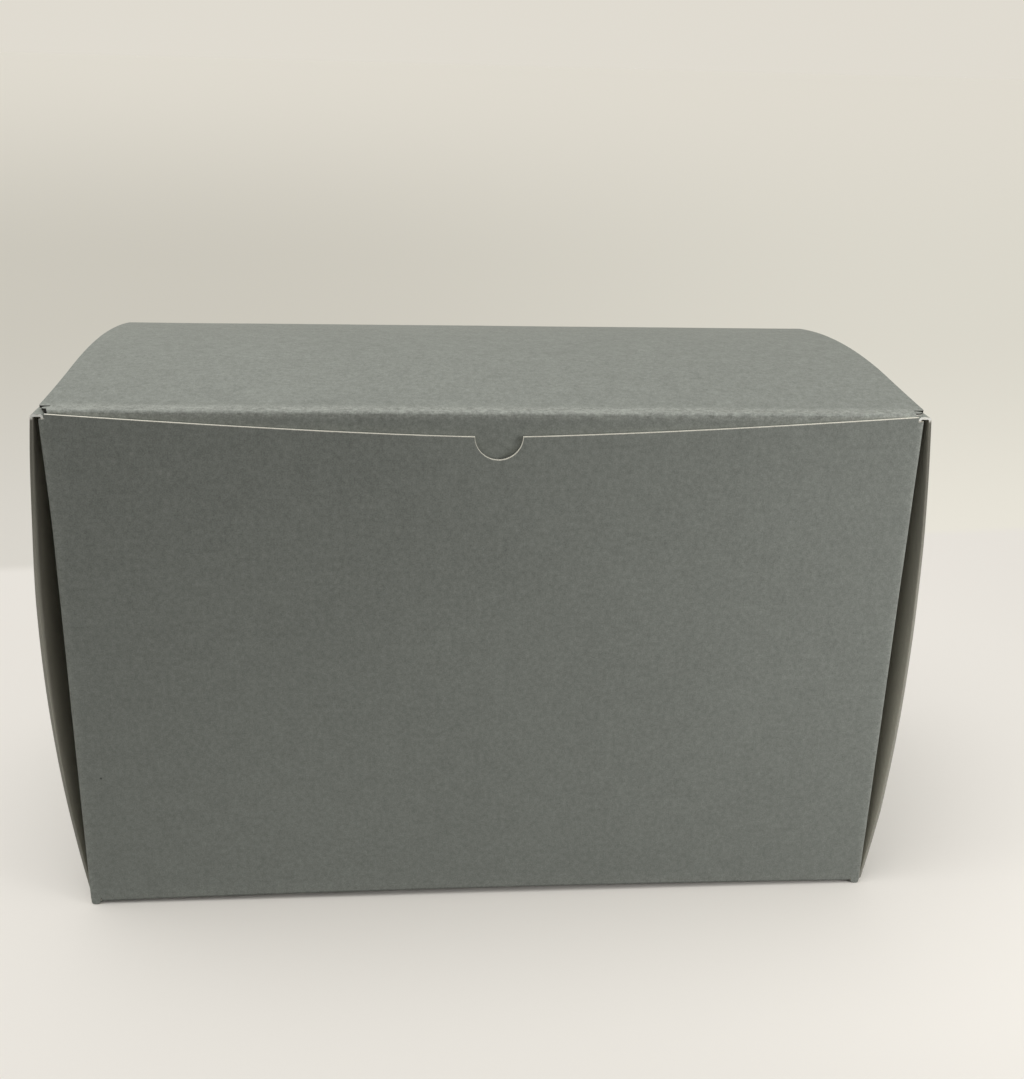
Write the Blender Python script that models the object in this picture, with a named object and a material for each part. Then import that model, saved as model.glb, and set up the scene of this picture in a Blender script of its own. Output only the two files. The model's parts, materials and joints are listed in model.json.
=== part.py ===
# Folding archive box of solid board, self-locking, with a hinged lid and a tuck flap.
#
# The real box is one die-cut sheet. Each panel here is cut from flat board as an
# outline (u across, v along), scored where it bends and folded into place, so a
# panel's solid is the board itself, with its true thickness and bends.
# Metres, +Z up. The front faces -Y and the box stands on z = 0, centred on x and y.

import math

import bmesh
import bpy
from mathutils import Vector

# Overall sizes, between the outer faces of the four upright corner folds
WIDTH = 0.400
DEPTH = 0.200
HEIGHT = 0.256

# Board thickness, and the gap kept between panels that touch
BOARD = 0.0012
CLEAR = 0.0003

# Inside radius of each kind of fold
BASE_FOLD_INSIDE = 0.0018
CORNER_FOLD_INSIDE = 0.0004
FOOT_FOLD_INSIDE = 0.0006
RIDGE_FOLD_INSIDE = 0.0004
FOLD_STEPS = 6

# Scooped top edge and thumb notch of the front panel
SCOOP_DEPTH = 0.0100
SCOOP_POWER = 1.4
SCOOP_STEPS = 28
NOTCH_RADIUS = 0.0113
NOTCH_SHIFT = 0.0030
NOTCH_STEPS = 20

# The front and back base folds spring off the floor, most in the middle
LIFT_AT_ENDS = 0.0010
LIFT_AT_MIDDLE = 0.0032
LIFT_RUN = 0.030
LIFT_STEPS = 5
LIFT_STATIONS = 12

# Nubs that reach the floor beside each base fold, cut free by a narrow relief
NUB_WIDTH = 0.0050
NUB_RADIUS = 0.0015
RELIEF_WIDTH = 0.0005
RELIEF_RISE = 0.0010

# Double side walls: the outer wall bows out, the ridge rolls over, the inner wall drops
FOOT_OUT = 0.0015
RIDGE_OUT = 0.0030
SIDE_BOW = 0.0076
BOW_STEPS = 18
WALL_END_INSET = 0.0003
INNER_WALL_LIFT = 0.0012

# Corner tabs, trapped between the outer and the inner walls
TAB_LENGTH = 0.070
TAB_CHAMFER = 0.012
TAB_FOOT_GAP = 0.0030

# Lock tabs of the inner walls, in slots of the base
LOCK_LENGTH = 0.040
LOCK_SPACING = 0.100
LOCK_CHAMFER = 0.0008
FLOOR_GAP = 0.0002

# Lid
LID_INSET = 0.0010
LID_RISE = 0.0080
LID_STEPS = 24
LID_CORNER_RADIUS = 0.0010
LID_OPEN_ANGLE = 180.0

# Tuck flap, slit from the lid at both ends of its crease
FLAP_LENGTH = 0.032
FLAP_SIDE_GAP = 0.0008
FLAP_FRONT_GAP = 0.0005
FLAP_CORNER_RADIUS = 0.018
FLAP_STEPS = 8
SLIT_LENGTH = 0.0050
FLAP_FOLD_ANGLE = 85.0

CREASE_SIDES = 16

# Grey of the board's outer liner in linear RGB, and its finish
GREY_LINER = (0.205, 0.222, 0.205)
ROUGHNESS = 0.75

# Places that follow from the sizes
HALF_WIDTH = WIDTH / 2
HALF_DEPTH = DEPTH / 2
BASE_FOLD_RADIUS = BOARD + BASE_FOLD_INSIDE
CORNER_FOLD_RADIUS = BOARD + CORNER_FOLD_INSIDE
FOOT_FOLD_RADIUS = BOARD + FOOT_FOLD_INSIDE
RIDGE_FOLD_RADIUS = BOARD + RIDGE_FOLD_INSIDE
RIDGE_IN = 2 * BOARD + CLEAR
INNER_FACE = HALF_WIDTH - RIDGE_IN
LID_UNDER = HEIGHT + CLEAR
HINGE_Y = HALF_DEPTH - BOARD / 2
HINGE_Z = LID_UNDER + BOARD / 2
TUCK_Y = -HALF_DEPTH + BOARD + FLAP_FRONT_GAP + BOARD
TUCK_Z = LID_UNDER
LID_SLOPE = math.atan(4 * LID_RISE / (HINGE_Y - TUCK_Y))
TAB_TOP = HEIGHT - RIDGE_FOLD_RADIUS - 2 * CLEAR
ARCH_HALF = HALF_WIDTH - NUB_WIDTH


# Plane geometry

def polar(centre, radius, angle):
    """Point at an angle and a distance from a centre."""
    return (centre[0] + radius * math.cos(angle), centre[1] + radius * math.sin(angle))


def arc(centre, radius, start, end, steps):
    """Points along a circular arc, both ends included."""
    return [polar(centre, radius, start + (end - start) * i / steps) for i in range(steps + 1)]


def fillet(before, corner, after, radius, steps=FOLD_STEPS):
    """The round that replaces a corner of a polyline."""
    corner = Vector(corner)
    back = (Vector(before) - corner).normalized()
    forth = (Vector(after) - corner).normalized()
    half = back.angle(forth) / 2
    centre = corner + (back + forth).normalized() * (radius / math.sin(half))
    start = corner + back * (radius / math.tan(half)) - centre
    end = corner + forth * (radius / math.tan(half)) - centre
    first = math.atan2(start.y, start.x)
    return arc(centre, radius, first, first - start.angle_signed(end), steps)


def round_corners(points, radii):
    """Replace the numbered corners of an outline by rounds."""
    rounded = []
    for i, point in enumerate(points):
        if i in radii:
            rounded += fillet(points[i - 1], point, points[(i + 1) % len(points)], radii[i])
        else:
            rounded.append(point)
    return rounded


def mirrored(right_half):
    """A closed outline from its right half, which runs from bottom to top."""
    return right_half + [(-u, v) for u, v in reversed(right_half)]


def spread(low, high, steps):
    """Evenly spaced values from low to high, both included."""
    return [low + (high - low) * i / steps for i in range(steps + 1)]


class Path:
    """Outer face of a folded strip seen end on, with the board on its right-hand side."""

    def __init__(self, points):
        self.points = [Vector(p) for p in points]
        self.lengths = [0.0]
        for a, b in zip(self.points, self.points[1:]):
            self.lengths.append(self.lengths[-1] + (b - a).length)

    def direction(self, i):
        """Direction of travel at a numbered point, the mean of its two runs."""
        before = self.points[i] - self.points[max(i - 1, 0)]
        after = self.points[min(i + 1, len(self.points) - 1)] - self.points[i]
        if before.length > 0 and after.length > 0:
            return (before.normalized() + after.normalized()).normalized()
        return (before + after).normalized()

    def at(self, length, depth=0.0):
        """Point at a length along the strip and a depth into the board."""
        i = 0
        while i < len(self.points) - 2 and length > self.lengths[i + 1]:
            i += 1
        share = (length - self.lengths[i]) / (self.lengths[i + 1] - self.lengths[i])
        point = self.points[i] + (self.points[i + 1] - self.points[i]) * share
        travel = self.direction(i).lerp(self.direction(i + 1), share).normalized()
        return point + Vector((travel.y, -travel.x)) * depth

    def scores(self, start, end):
        """Lengths at which the strip turns, between two ends."""
        return [s for s in self.lengths if start + CLEAR / 2 < s < end - CLEAR / 2]


# Board work

def finish(name, bm, hinge=None):
    """Turn a bmesh into a named object with its own board material, on its hinge if it has one."""
    if bm.calc_volume(signed=True) < 0:
        bmesh.ops.reverse_faces(bm, faces=bm.faces[:])
    if hinge is not None:
        bmesh.ops.translate(bm, verts=bm.verts[:], vec=-hinge.matrix_world.translation)
    mesh = bpy.data.meshes.new(name)
    bm.to_mesh(mesh)
    bm.free()
    material = bpy.data.materials.new(name + "_board")
    material.use_nodes = True
    shader = material.node_tree.nodes["Principled BSDF"]
    shader.inputs["Base Color"].default_value = (*GREY_LINER, 1.0)
    shader.inputs["Roughness"].default_value = ROUGHNESS
    shader.inputs["Metallic"].default_value = 0.0
    mesh.materials.append(material)
    panel = bpy.data.objects.new(name, mesh)
    bpy.context.scene.collection.objects.link(panel)
    panel.parent = hinge
    return panel


def cut_board(name, outline, place, across=(), along=(), hinge=None):
    """Die-cut a panel from flat board, score it where it bends and fold it into place.

    place(u, v, depth) is the folded position of a point of the flat panel.
    """
    bm = bmesh.new()
    face = bm.faces.new([bm.verts.new((u, v, 0.0)) for u, v in outline])
    sheet = bmesh.ops.extrude_face_region(bm, geom=[face])
    raised = [part for part in sheet["geom"] if isinstance(part, bmesh.types.BMVert)]
    bmesh.ops.translate(bm, verts=raised, vec=(0.0, 0.0, BOARD))
    bmesh.ops.recalc_face_normals(bm, faces=bm.faces[:])
    for normal, offsets in (((1.0, 0.0, 0.0), across), ((0.0, 1.0, 0.0), along)):
        for offset in offsets:
            score = Vector(normal) * offset
            everything = bm.verts[:] + bm.edges[:] + bm.faces[:]
            bmesh.ops.bisect_plane(bm, geom=everything, dist=1e-6, plane_co=score, plane_no=normal)
    bmesh.ops.triangulate(bm, faces=bm.faces[:])
    for vert in bm.verts:
        vert.co = place(*vert.co)
    return finish(name, bm, hinge)


def extrude_section(name, section, half_length, hinge=None):
    """A bar along X with the given section in the YZ plane."""
    bm = bmesh.new()
    face = bm.faces.new([bm.verts.new((-half_length, y, z)) for y, z in section])
    bar = bmesh.ops.extrude_face_region(bm, geom=[face])
    moved = [part for part in bar["geom"] if isinstance(part, bmesh.types.BMVert)]
    bmesh.ops.translate(bm, verts=moved, vec=(2 * half_length, 0.0, 0.0))
    bmesh.ops.recalc_face_normals(bm, faces=bm.faces[:])
    bmesh.ops.triangulate(bm, faces=bm.faces[:])
    return finish(name, bm, hinge)


def hinge_point(name, y, z, low, high, parent=None):
    """An empty on a joint's axis, limited to the joint's range in degrees about X."""
    hinge = bpy.data.objects.new(name, None)
    hinge.location = (0.0, y, z)
    if parent is not None:
        hinge.parent = parent
        hinge.location = Vector((0.0, y, z)) - parent.matrix_world.translation
    limit = hinge.constraints.new("LIMIT_ROTATION")
    limit.use_limit_x = True
    limit.min_x = math.radians(low)
    limit.max_x = math.radians(high)
    limit.owner_space = "LOCAL"
    bpy.context.scene.collection.objects.link(hinge)
    bpy.context.view_layer.update()
    return hinge


# Base

def fold_lift(x):
    """Height of the front and back base folds above the floor at a place across the box."""
    if abs(x) <= ARCH_HALF:
        return LIFT_AT_ENDS + (LIFT_AT_MIDDLE - LIFT_AT_ENDS) * (1 - (x / ARCH_HALF) ** 2)
    return LIFT_AT_ENDS * max(HALF_WIDTH - abs(x), 0.0) / NUB_WIDTH


def lock_centres():
    """Places along y of each side's lock tabs."""
    return (-LOCK_SPACING / 2, LOCK_SPACING / 2)


def base_panel():
    """Flat bottom with open lock slots in its side edges and sprung front and back margins."""
    path, foot, _, _ = side_path()
    side_edge = -path.at(foot).x - CLEAR
    front_edge = HALF_DEPTH - BASE_FOLD_RADIUS - CLEAR
    slot_floor = INNER_FACE - CLEAR
    half = [(side_edge, -front_edge)]
    for centre in lock_centres():
        low = centre - LOCK_LENGTH / 2 - CLEAR
        high = centre + LOCK_LENGTH / 2 + CLEAR
        half += [(side_edge, low), (slot_floor, low), (slot_floor, high), (side_edge, high)]
    half.append((side_edge, front_edge))

    def place(u, v, depth):
        run = min(max((abs(v) - front_edge + LIFT_RUN) / LIFT_RUN, 0.0), 1.0)
        return Vector((u, v, depth + fold_lift(u) * run * run * (3 - 2 * run)))

    margin = spread(front_edge - LIFT_RUN, front_edge, LIFT_STEPS)[:-1]
    stations = spread(-ARCH_HALF, ARCH_HALF, LIFT_STATIONS)
    along = [-v for v in reversed(margin)] + margin
    return cut_board("base_panel", mirrored(half), place, stations, along)


# Front and back panels

def scoop_height(x):
    """Top edge of the front panel at a place across it."""
    return HEIGHT - SCOOP_DEPTH * (1 - (abs(x) / (INNER_FACE - CLEAR)) ** SCOOP_POWER)


def scooped_edge():
    """Top edge of the front panel from right to left, dipping round the thumb notch."""
    end = INNER_FACE - CLEAR
    rim = (NOTCH_SHIFT, scoop_height(NOTCH_SHIFT + NOTCH_RADIUS))
    right = spread(end, NOTCH_SHIFT + NOTCH_RADIUS, SCOOP_STEPS // 2)[:-1]
    left = spread(NOTCH_SHIFT - NOTCH_RADIUS, -end, SCOOP_STEPS // 2)[1:]
    notch = arc(rim, NOTCH_RADIUS, 0.0, -math.pi, NOTCH_STEPS)
    return [(x, scoop_height(x)) for x in right] + notch + [(x, scoop_height(x)) for x in left]


def straight_edge():
    """Top edge of the back panel from right to left, just under the lid's crease."""
    end = INNER_FACE - CLEAR
    return [(end, HEIGHT), (-end, HEIGHT)]


def end_panel(name, top_edge, facing):
    """Front (facing -1) or back (facing 1) panel, from its base fold to its top edge."""
    corner = (-HALF_DEPTH, 0.0)
    start = (-HALF_DEPTH + 2 * BASE_FOLD_RADIUS, 0.0)
    top = (-HALF_DEPTH, HEIGHT + BOARD)
    path = Path([start] + fillet(start, corner, top, BASE_FOLD_RADIUS) + [top])
    fold_start = path.lengths[1]
    fold_end = path.lengths[1 + FOLD_STEPS]
    bend = HALF_WIDTH - CORNER_FOLD_RADIUS
    tab_edge = bend + CORNER_FOLD_RADIUS * math.pi / 2
    relief = ARCH_HALF - RELIEF_WIDTH

    def at_height(z):
        return fold_end + z - BASE_FOLD_RADIUS

    half = [
        (relief, fold_start),
        (relief, fold_end + RELIEF_RISE),
        (ARCH_HALF, fold_end + RELIEF_RISE),
        (ARCH_HALF, at_height(FLOOR_GAP)),
        (bend, at_height(FLOOR_GAP)),
        (bend, at_height(TAB_FOOT_GAP)),
        (tab_edge, at_height(TAB_FOOT_GAP)),
        (tab_edge, at_height(TAB_TOP)),
        (INNER_FACE - CLEAR, at_height(TAB_TOP)),
    ]
    right = round_corners(half, {3: NUB_RADIUS, 4: NUB_RADIUS})
    left = [(-u, v) for u, v in reversed(right)]
    outline = right + [(x, at_height(z)) for x, z in top_edge] + left

    def place(u, v, depth):
        if abs(u) > bend:
            turn = (abs(u) - bend) / CORNER_FOLD_RADIUS
            reach = CORNER_FOLD_RADIUS - depth
            x = math.copysign(bend + reach * math.sin(turn), u)
            y = -HALF_DEPTH + CORNER_FOLD_RADIUS - reach * math.cos(turn)
            z = BASE_FOLD_RADIUS + v - fold_end
        elif abs(u) > relief + RELIEF_WIDTH / 2:
            x = u
            y = -HALF_DEPTH + depth
            z = BASE_FOLD_RADIUS + v - fold_end
        else:
            x = u
            y, z = path.at(v, depth)
            z += fold_lift(x) * min(max(1 - (v - fold_end) / LIFT_RUN, 0.0), 1.0)
        return Vector((x, -facing * y, z))

    across = spread(-relief, relief, LIFT_STATIONS)[1:-1]
    for turn in spread(0.0, tab_edge - bend, FOLD_STEPS)[:-1]:
        across += [-bend - turn, bend + turn]
    along = path.scores(fold_start, fold_end) + [fold_end, fold_end + LIFT_RUN]
    return cut_board(name, outline, place, across, along)


def corner_tab(name, side, facing):
    """Tab that turns the corner from the front or back panel, flat behind the outer wall."""
    start = HALF_DEPTH - CORNER_FOLD_RADIUS - CLEAR
    end = start - TAB_LENGTH
    outline = [
        (start, TAB_FOOT_GAP),
        (start, TAB_TOP),
        (end + TAB_CHAMFER, TAB_TOP),
        (end, TAB_TOP - TAB_CHAMFER),
        (end, TAB_FOOT_GAP + TAB_CHAMFER),
        (end + TAB_CHAMFER, TAB_FOOT_GAP),
    ]

    def place(u, v, depth):
        return Vector((side * (HALF_WIDTH - depth), facing * u, v))

    return cut_board(name, outline, place)


# Double side walls

def side_path():
    """Section of a side wall, from the base's edge round the outside to the inner wall's foot."""
    foot = (HALF_WIDTH + FOOT_OUT, 0.0)
    shoulder = (HALF_WIDTH + RIDGE_OUT, HEIGHT)
    inner_top = (INNER_FACE, HEIGHT)
    wall = []
    for i in range(1, BOW_STEPS):
        share = i / BOW_STEPS
        out = foot[0] + (shoulder[0] - foot[0]) * share + 4 * SIDE_BOW * share * (1 - share)
        wall.append((out, HEIGHT * share))
    start = (INNER_FACE, 0.0)
    turns = [
        fillet(start, foot, wall[0], FOOT_FOLD_RADIUS),
        fillet(wall[-1], shoulder, inner_top, RIDGE_FOLD_RADIUS),
        fillet(shoulder, inner_top, start, RIDGE_FOLD_RADIUS),
    ]
    points = [start] + turns[0] + wall + turns[1] + turns[2] + [start]
    path = Path([(-x, z) for x, z in points])
    shoulder_start = 1 + len(turns[0]) + len(wall)
    shoulder_end = shoulder_start + len(turns[1]) + len(turns[2]) - 1
    return path, path.lengths[1], path.lengths[shoulder_start], path.lengths[shoulder_end]


def side_wall(side_name, side):
    """Outer wall, ridge and inner wall of one side, folded from one strip."""
    path, foot, shoulder, drop = side_path()

    def place(u, v, depth):
        x, z = path.at(v, depth)
        return Vector((-side * x, u, z))

    def strip(name, start, end):
        reach = HALF_DEPTH - WALL_END_INSET
        outline = [(-reach, start), (reach, start), (reach, end), (-reach, end)]
        cut_board(side_name + name, outline, place, along=path.scores(start, end))

    strip("_outer_wall", foot, shoulder - CLEAR)
    strip("_ridge", shoulder, drop)
    inner_wall(side_name + "_inner_wall", place, path, drop + CLEAR)


def inner_wall(name, place, path, top):
    """Inner wall with chamfered lock tabs that stand in the base's slots."""
    floor = path.lengths[-1]
    sill = floor - BOARD - INNER_WALL_LIFT
    tip = floor - FLOOR_GAP
    reach = HALF_DEPTH - BOARD - CLEAR
    outline = [(-reach, top), (-reach, sill)]
    for centre in lock_centres():
        low = centre - LOCK_LENGTH / 2
        high = centre + LOCK_LENGTH / 2
        outline += [(low, sill), (low, tip - LOCK_CHAMFER), (low + LOCK_CHAMFER, tip)]
        outline += [(high - LOCK_CHAMFER, tip), (high, tip - LOCK_CHAMFER), (high, sill)]
    outline += [(reach, sill), (reach, top)]
    return cut_board(name, outline, place)


# Lid and tuck flap

def lid_panel(hinge):
    """Lid, bowed upward between its hinge crease and its tuck crease."""
    normal = Vector((math.sin(LID_SLOPE), math.cos(LID_SLOPE)))
    front = Vector((TUCK_Y - BOARD * normal.x, TUCK_Z + BOARD * normal.y))
    rear = Vector((HINGE_Y + BOARD / 2 * normal.x, HINGE_Z + BOARD / 2 * normal.y))
    points = []
    for share in spread(0.0, 1.0, LID_STEPS):
        rise = Vector((0.0, 4 * LID_RISE * share * (1 - share)))
        points.append(front.lerp(rear, share) + rise)
    path = Path(points)
    start = CLEAR
    end = path.lengths[-1] - BOARD / 2 - CLEAR
    half_width = HALF_WIDTH - LID_INSET
    outline = [(-half_width, start), (half_width, start), (half_width, end), (-half_width, end)]
    outline = round_corners(outline, {0: LID_CORNER_RADIUS, 1: LID_CORNER_RADIUS})

    def place(u, v, depth):
        y, z = path.at(v, depth)
        return Vector((u, y, z))

    return cut_board("lid_panel", outline, place, along=path.scores(start, end), hinge=hinge)


def lid_crease():
    """Rolled crease between the back panel and the lid, round the lid's axis."""
    turns = [2 * math.pi * i / CREASE_SIDES for i in range(CREASE_SIDES)]
    section = [polar((HINGE_Y, HINGE_Z), BOARD / 2, turn) for turn in turns]
    return extrude_section("lid_crease", section, HALF_WIDTH - LID_INSET)


def tuck_crease(hinge):
    """Rounded crease between the lid and the tuck flap, which stops at the two slits."""
    axis = (TUCK_Y, TUCK_Z)
    section = [axis] + arc(axis, BOARD, math.pi / 2 + LID_SLOPE, math.pi, FOLD_STEPS)
    half_length = HALF_WIDTH - LID_INSET - SLIT_LENGTH
    return extrude_section("tuck_crease", section, half_length, hinge)


def tuck_flap(hinge):
    """Flap behind the front panel, curved about the lid's hinge so that it slides out clear."""
    outer = Vector((TUCK_Y - BOARD - HINGE_Y, TUCK_Z - HINGE_Z))
    first = math.atan2(outer.y, outer.x)
    half_width = INNER_FACE - FLAP_SIDE_GAP
    outline = [
        (-half_width, CLEAR),
        (half_width, CLEAR),
        (half_width, FLAP_LENGTH),
        (-half_width, FLAP_LENGTH),
    ]
    outline = round_corners(outline, {2: FLAP_CORNER_RADIUS, 3: FLAP_CORNER_RADIUS})

    def place(u, v, depth):
        y, z = polar((HINGE_Y, HINGE_Z), outer.length - depth, first + v / outer.length)
        return Vector((u, y, z))

    along = spread(CLEAR, FLAP_LENGTH, FLAP_STEPS)[1:-1]
    return cut_board("tuck_flap", outline, place, along=along, hinge=hinge)


def build():
    """Clear the scene and fold the box."""
    for old in list(bpy.data.objects):
        bpy.data.objects.remove(old, do_unlink=True)

    base_panel()
    end_panel("front_panel", scooped_edge(), -1)
    end_panel("back_panel", straight_edge(), 1)
    for side_name, side in (("left", -1), ("right", 1)):
        side_wall(side_name, side)
        for end_name, facing in (("front", -1), ("back", 1)):
            corner_tab(end_name + "_" + side_name + "_corner_tab", side, facing)

    lid_hinge = hinge_point("lid_hinge", HINGE_Y, HINGE_Z, -LID_OPEN_ANGLE, 0.0)
    tuck_hinge = hinge_point("tuck_hinge", TUCK_Y, TUCK_Z, 0.0, FLAP_FOLD_ANGLE, lid_hinge)
    lid_crease()
    lid_panel(lid_hinge)
    tuck_crease(lid_hinge)
    tuck_flap(tuck_hinge)


build()
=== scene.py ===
# Studio view of a folding archive box of grey board.
#
# The box is die-cut board that is folded, so each visible piece is made as the real one is:
# a flat sheet is cut to its outline and scored, a geometry node tree folds it along the
# box's section paths and ripples it, and Solidify gives it the board's thickness.
# Metres, +Z up, the front faces -Y.

import json
import math

import bmesh
import bpy
from mathutils import Matrix, Vector

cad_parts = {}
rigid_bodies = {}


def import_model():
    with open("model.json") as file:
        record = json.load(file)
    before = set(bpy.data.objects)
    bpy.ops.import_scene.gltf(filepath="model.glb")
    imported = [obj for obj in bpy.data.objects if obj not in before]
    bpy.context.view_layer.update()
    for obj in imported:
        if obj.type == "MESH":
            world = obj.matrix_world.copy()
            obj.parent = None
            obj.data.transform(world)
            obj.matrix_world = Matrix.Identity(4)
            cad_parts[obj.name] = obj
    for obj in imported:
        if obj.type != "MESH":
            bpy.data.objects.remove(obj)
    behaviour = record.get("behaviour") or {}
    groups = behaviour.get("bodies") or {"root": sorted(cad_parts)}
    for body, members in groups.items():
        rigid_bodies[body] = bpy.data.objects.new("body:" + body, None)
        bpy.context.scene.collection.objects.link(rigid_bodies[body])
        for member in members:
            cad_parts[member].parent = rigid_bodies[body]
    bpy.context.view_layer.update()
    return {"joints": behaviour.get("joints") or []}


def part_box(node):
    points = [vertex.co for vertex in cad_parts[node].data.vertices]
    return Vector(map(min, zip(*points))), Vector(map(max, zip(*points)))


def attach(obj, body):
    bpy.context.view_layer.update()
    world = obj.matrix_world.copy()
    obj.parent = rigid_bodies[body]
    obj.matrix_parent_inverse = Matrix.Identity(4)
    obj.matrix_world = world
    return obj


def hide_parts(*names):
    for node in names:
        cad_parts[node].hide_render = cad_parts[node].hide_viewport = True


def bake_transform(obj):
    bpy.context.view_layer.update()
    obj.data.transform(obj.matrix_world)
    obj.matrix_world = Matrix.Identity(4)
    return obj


for startup_object in list(bpy.data.objects):
    bpy.data.objects.remove(startup_object, do_unlink=True)
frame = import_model()

# Sizes read from the frame
TAB_LOW, TAB_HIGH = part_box("front_right_corner_tab")
BOARD = TAB_HIGH[0] - TAB_LOW[0]
HALF_WIDTH = TAB_HIGH[0]
HALF_DEPTH = -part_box("front_panel")[0][1]
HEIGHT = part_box("back_panel")[1][2]
TAB_FOOT = TAB_LOW[2]
TAB_TOP = TAB_HIGH[2]
INNER_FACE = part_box("right_inner_wall")[0][0]
INNER_WALL_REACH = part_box("right_inner_wall")[1][1]
WALL_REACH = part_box("right_outer_wall")[1][1]
LID_HALF_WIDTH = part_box("lid_panel")[1][0]
FLAP_HALF_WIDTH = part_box("tuck_flap")[1][0]
FLAP_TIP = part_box("tuck_flap")[0][2]
HINGE = {joint["name"]: Vector(joint["pos_m"]) for joint in frame["joints"]}
LID_AXIS = HINGE["lid_hinge"]
FLAP_AXIS = HINGE["tuck_fold"]

# Gap kept between sheets that touch, steps round a fold and round the thumb notch, and half the
# length of a straight section path
CLEAR = 0.0003
FOLD_STEPS = 8
NOTCH_STEPS = 32
REACH = 0.3

# Outer radius of each kind of fold
BASE_FOLD_RADIUS = 0.0020
CORNER_FOLD_RADIUS = 0.0016
FOOT_FOLD_RADIUS = 0.0018
RIDGE_FOLD_RADIUS = 0.0016
TUCK_FOLD_RADIUS = 0.0016
LID_FOLD_RADIUS = 0.0022
FOLD_MARGIN = 0.0008

# Front panel's scooped edge, which ends beside the inner walls, and its thumb notch
SCOOP_END = INNER_FACE - CLEAR
SCOOP_DEPTH = 0.0100
SCOOP_POWER = 1.4
NOTCH_RADIUS = 0.0110
NOTCH_SHIFT = 0.0019

# Base folds of the front and back, arched off the floor between the nubs at the corners
LIFT_AT_ENDS = 0.0011
LIFT_AT_MIDDLE = 0.0028
LIFT_RUN = 0.030
NUB_WIDTH = 0.0050
ARCH_HALF = HALF_WIDTH - NUB_WIDTH
NUB_RADIUS = 0.0021
RELIEF_WIDTH = 0.0005
RELIEF_RISE = 0.0010
FLOOR_GAP = 0.0002

# Bowed side walls: how far each bows and how far its foot stands out, then how far its free
# edges are set back near the foot and the height at which they run full width again
SIDE_BOW = {"left": 0.0093, "right": 0.0075}
FOOT_OUT = {"left": 0.0007, "right": 0.0015}
SIDE_TAPER = {"left": (0.0065, 0.170), "right": (0.0030, 0.045)}
WALL_RELIEF = 0.0020
RIDGE_OUT = 0.0030
WALL_STEPS = 32
INNER_WALL_LIFT = 0.0012
LOCK_LENGTH = 0.040
LOCK_SPACING = 0.100
LOCK_CHAMFER = 0.0008

# Front left top corner, pushed outward: how far, and where the push starts and ends
CORNER_PUSH = 0.0016
PUSH_ACROSS = (-0.150, -0.195)
PUSH_ALONG = (-0.040, -0.095)
PUSH_UP = (0.195, 0.275)

# Corners of the tabs, the flap and the lid
TAB_CHAMFER = 0.012
FLAP_CORNER_RADIUS = 0.018
LID_CORNER_RADIUS = 0.0010

# Lid: its rise between the folds and where along it they start, how its front fold drops and
# leans to the right, and how its front corners flare out over the ridges
LID_RISE = 0.0080
LID_ENDS = (0.04, 0.96)
FRONT_DROP = 0.0003
FRONT_LEAN = 0.0004
DROP_RUN = 0.060
LID_FLARE = 0.0030
FLARE_RUN = 0.050

# Shoulder in front of the lid's slits, its ears, and the flap's part of the fold
SHOULDER = 0.0030
SLIT_WIDTH = 0.0007
SLIT_START = FLAP_HALF_WIDTH + CLEAR
EAR_HALF_WIDTH = 0.2002
EAR_DROOP = 0.0003
FLAP_MARGIN = 0.0030
LEFT_SPREAD = 0.0014

# Least angle between faces that keeps an edge sharp
SHARP_ANGLE = math.radians(40.0)

# Spacing of the points that carry a sheet's waves and wrinkles, the columns of points on each
# ear, and the gaps from a corner fold to the columns beside it
SHEET_STEP = 0.008
COLUMN_STEP = 0.0016
ROW_STEP = 0.0005
EAR_COLUMNS = 5
CORNER_GAPS = (0.001, 0.003)

# Wear of each sheet along its folds: how far from the fold it reaches, and how much there is
WRINKLE_RUN = 0.0045
WEAR = {
    "base": (0.003, 0.6),
    "end": (0.004, 0.7),
    "side": (0.007, 0.7),
    "lid": (WRINKLE_RUN, 1.0),
    "hinge": (0.004, 0.6),
}

# Ripples of the board: long waves all over, and wrinkles where it is creased
RIPPLES = {
    "Wave height": 0.0004,
    "Wave length": 0.070,
    "Wrinkle height": 0.00030,
    "Wrinkle length": 0.0050,
    "Wrinkle width": 0.0011,
    "Seed": 4.0,
}

# Colours in linear RGB
GREY = (0.225, 0.238, 0.214)
WORN_GREY = (0.40, 0.41, 0.37)
LINING = (0.74, 0.70, 0.59)
CORE = (0.84, 0.81, 0.70)
# Side walls' cut edges in painted shade, high up and lower down
PAINTED_SHADE_CORE_HIGH = (0.18, 0.171, 0.142)
PAINTED_SHADE_CORE_LOW = (0.38, 0.363, 0.307)
# Frayed ridge ends: real fray, whiter than the core as a painted highlight
FRAYED_WITH_PAINTED_HIGHLIGHT = (0.93, 0.92, 0.87)
# Painted shade inside the lid's slits, on the cut edges beside them
SLIT_SHADE = (0.022, 0.021, 0.018)
FLOOR_SEEN = (0.852, 0.815, 0.761)
FLOOR_BOUNCE = (0.085, 0.083, 0.078)
# Tones of the wall painted behind the box, with painted light and shade: lighter at its foot, at the
# right and far up, darker part-way up and at the left
WALL_NEAR = (0.74, 0.71, 0.653)
WALL_PAINTED_SHADE = (0.64, 0.612, 0.542)
WALL_NEAR_BESIDE = (0.871, 0.837, 0.749)
WALL_PAINTED_SHADE_BESIDE = (0.764, 0.736, 0.655)
WALL_FAR = (0.80, 0.763, 0.683)
ROOM_SEEN = (0.745, 0.71, 0.635)
ROOM_LIGHT = (0.53, 0.53, 0.52)

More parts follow.
